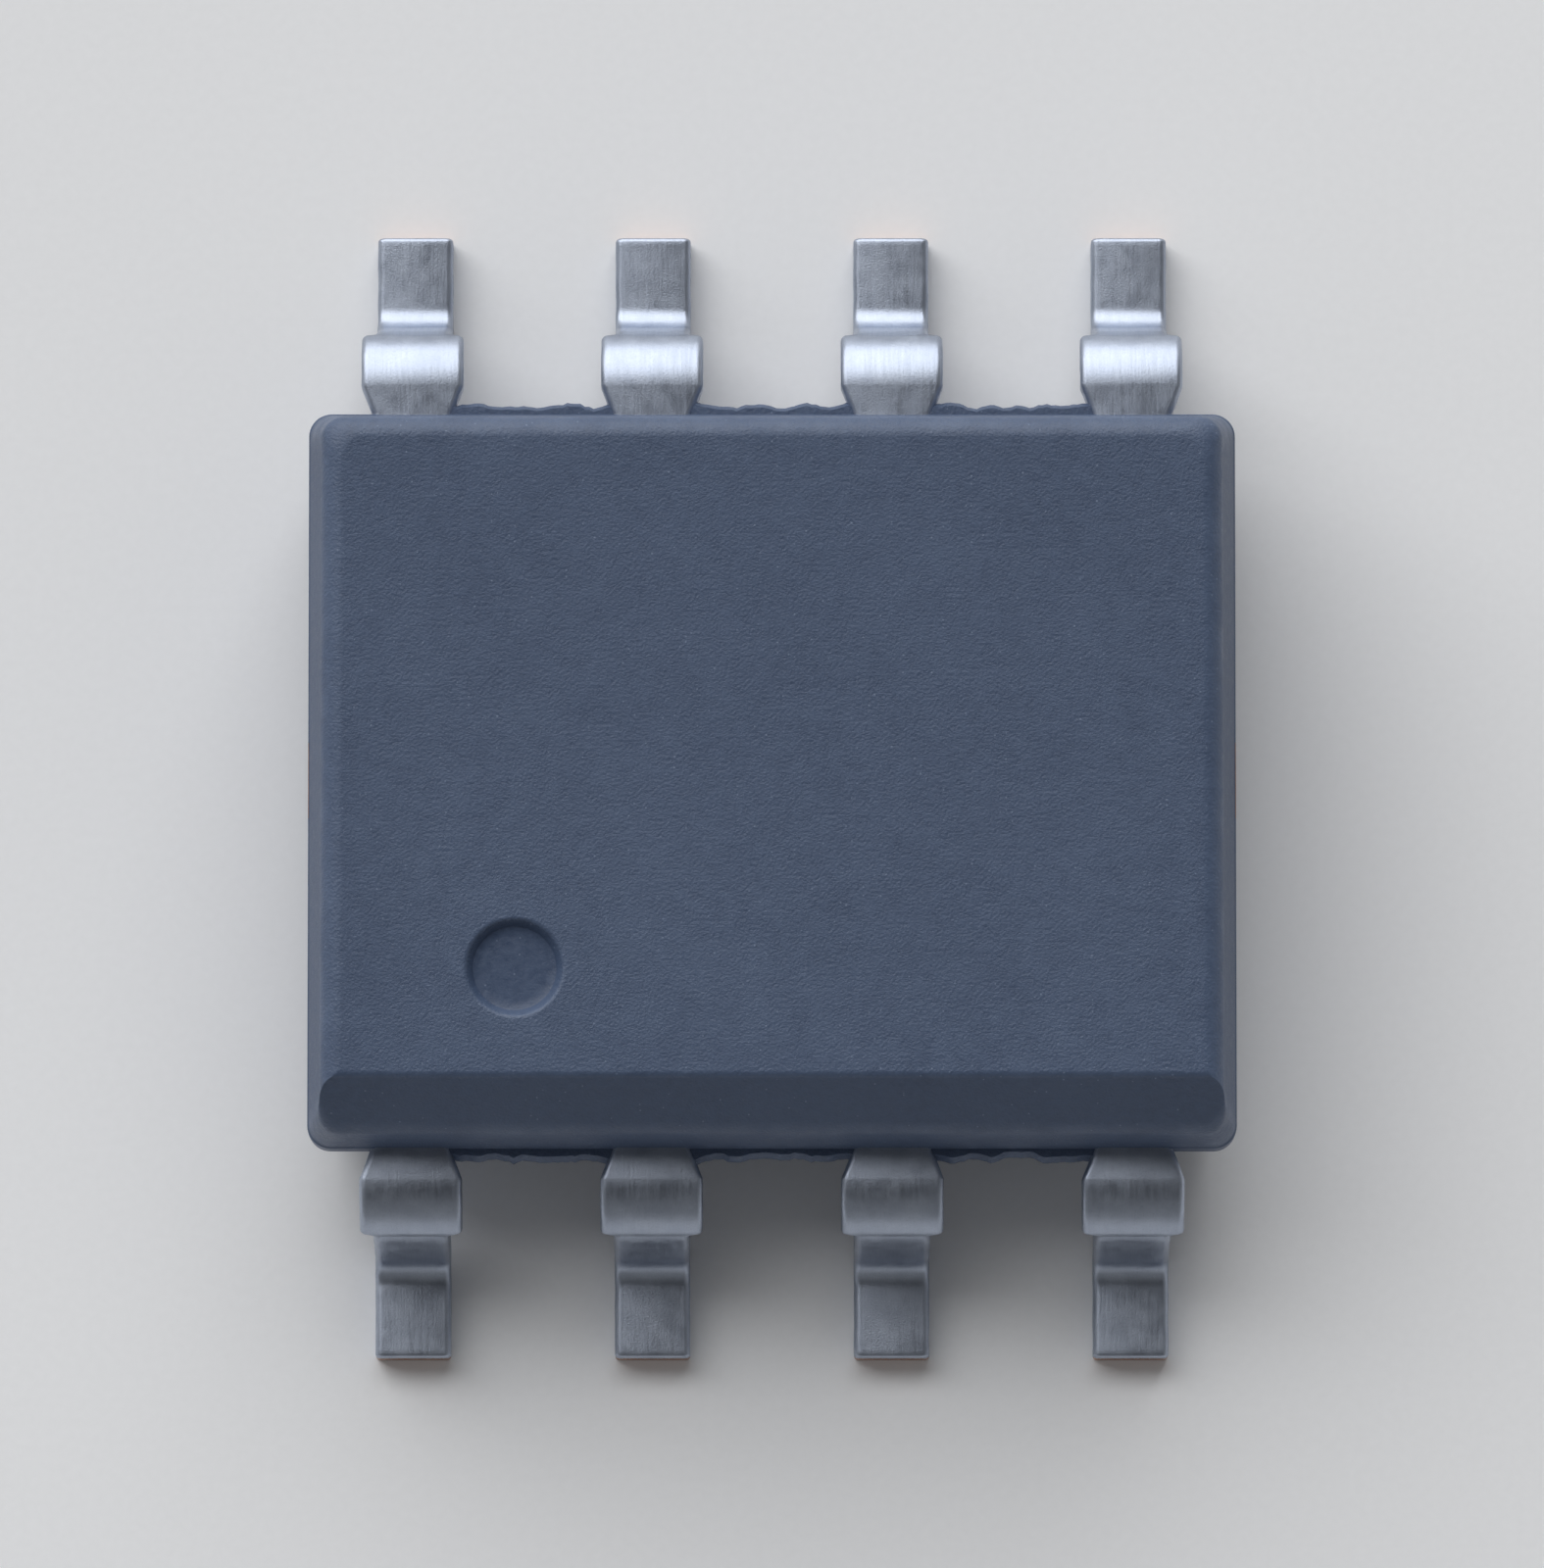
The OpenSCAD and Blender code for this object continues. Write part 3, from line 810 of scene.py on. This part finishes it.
def floor_material():
    """Plain pale board with a barely visible tooth."""
    s = Shader("pale floor")
    tooth = s.noise(0.05 * MM, 2)
    tone = s.mix(s.ramp(tooth, 0.3, 0.7), colour(240, 241, 243), colour(242, 243, 245))
    s.set(Base_Color=tone, Roughness=0.9)
    return s.material


def dress(piece, material):
    piece.data.materials.clear()
    piece.data.materials.append(material)


# ---------------------------------------------------------------- the object

tin = tin_material()
leads = []
for i in range(1, LEAD_COUNT + 1):
    lead = lead_piece(i)
    dress(lead, tin)
    leads.append(lead)

body = body_piece(leads)
dress(body, compound_material())
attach(body, "root")
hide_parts("mould_body")

for i, lead in enumerate(leads, start=1):
    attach(lead, "root")
    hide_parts(f"lead_{i}")

dress(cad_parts["die_paddle"], copper_material())
dress(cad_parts["die_attach"], adhesive_material())
dress(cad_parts["die"], silicon_material())
gold = gold_material()
for i in range(1, LEAD_COUNT + 1):
    dress(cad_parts[f"bond_wire_{i}"], gold)


# ---------------------------------------------------------------- the studio


def add_floor(half):
    bm = bmesh.new()
    bm.faces.new([bm.verts.new((x * half, y * half, 0)) for x, y in ((-1, -1), (1, -1), (1, 1), (-1, 1))])
    floor = mesh_object("floor", bm)
    dress(floor, floor_material())


def add_key(direction, spread, level):
    """Soft light from one direction, spread over an angle. It lights a level white face to level."""
    aim = Vector(direction).normalized()
    light = bpy.data.lights.new("key", "SUN")
    light.angle = spread
    light.energy = level * math.pi / aim.z
    lamp = bpy.data.objects.new("key", light)
    lamp.rotation_euler = aim.to_track_quat("Z", "Y").to_euler()
    bpy.context.scene.collection.objects.link(lamp)


def add_world(horizon, fill, zenith):
    """Soft grey all round: pale at the horizon, where low views see it, and dim straight above, where
    the camera and the hand that holds it take the light away."""
    world = bpy.data.worlds.new("studio")
    world.use_nodes = True
    nodes = world.node_tree.nodes
    links = world.node_tree.links
    place = nodes.new("ShaderNodeTexCoord")
    split = nodes.new("ShaderNodeSeparateXYZ")
    links.new(place.outputs["Generated"], split.inputs["Vector"])
    level = horizon
    for start, end, next_level in ((5, 14, fill), (45, 72, zenith)):
        fade = nodes.new("ShaderNodeMapRange")
        fade.interpolation_type = "SMOOTHSTEP"
        fade.inputs["From Min"].default_value = math.sin(math.radians(start))
        fade.inputs["From Max"].default_value = math.sin(math.radians(end))
        fade.inputs["To Max"].default_value = next_level
        links.new(split.outputs["Z"], fade.inputs["Value"])
        if isinstance(level, bpy.types.NodeSocket):
            links.new(level, fade.inputs["To Min"])
        else:
            fade.inputs["To Min"].default_value = level
        level = fade.outputs["Result"]
    links.new(level, nodes["Background"].inputs["Strength"])
    nodes["Background"].inputs["Color"].default_value = (1.0, 1.0, 1.0, 1.0)
    bpy.context.scene.world = world


def add_camera(target, elevation, distance, view_height):
    """Long lens from the side of leads 1 to 4, almost straight above."""
    data = bpy.data.cameras.new("camera")
    data.sensor_width = 36
    data.lens = data.sensor_width / 2 * distance / (view_height / 2)
    data.clip_start = 0.002
    data.clip_end = 5
    camera = bpy.data.objects.new("camera", data)
    rise = math.radians(elevation)
    away = Vector((0, -math.cos(rise), math.sin(rise)))
    camera.location = target + away * distance
    camera.rotation_euler = away.to_track_quat("Z", "Y").to_euler()
    bpy.context.scene.collection.objects.link(camera)
    bpy.context.scene.camera = camera


add_floor(half=0.35)
add_key(direction=(-0.28, 0.8, 0.48), spread=math.radians(86), level=0.54)
add_world(horizon=0.76, fill=0.24, zenith=0.06)
add_camera(target=Vector((0, 0, body_top / 2)), elevation=84, distance=0.09, view_height=8.3 * MM)
bpy.context.scene.view_settings.view_transform = "Standard"
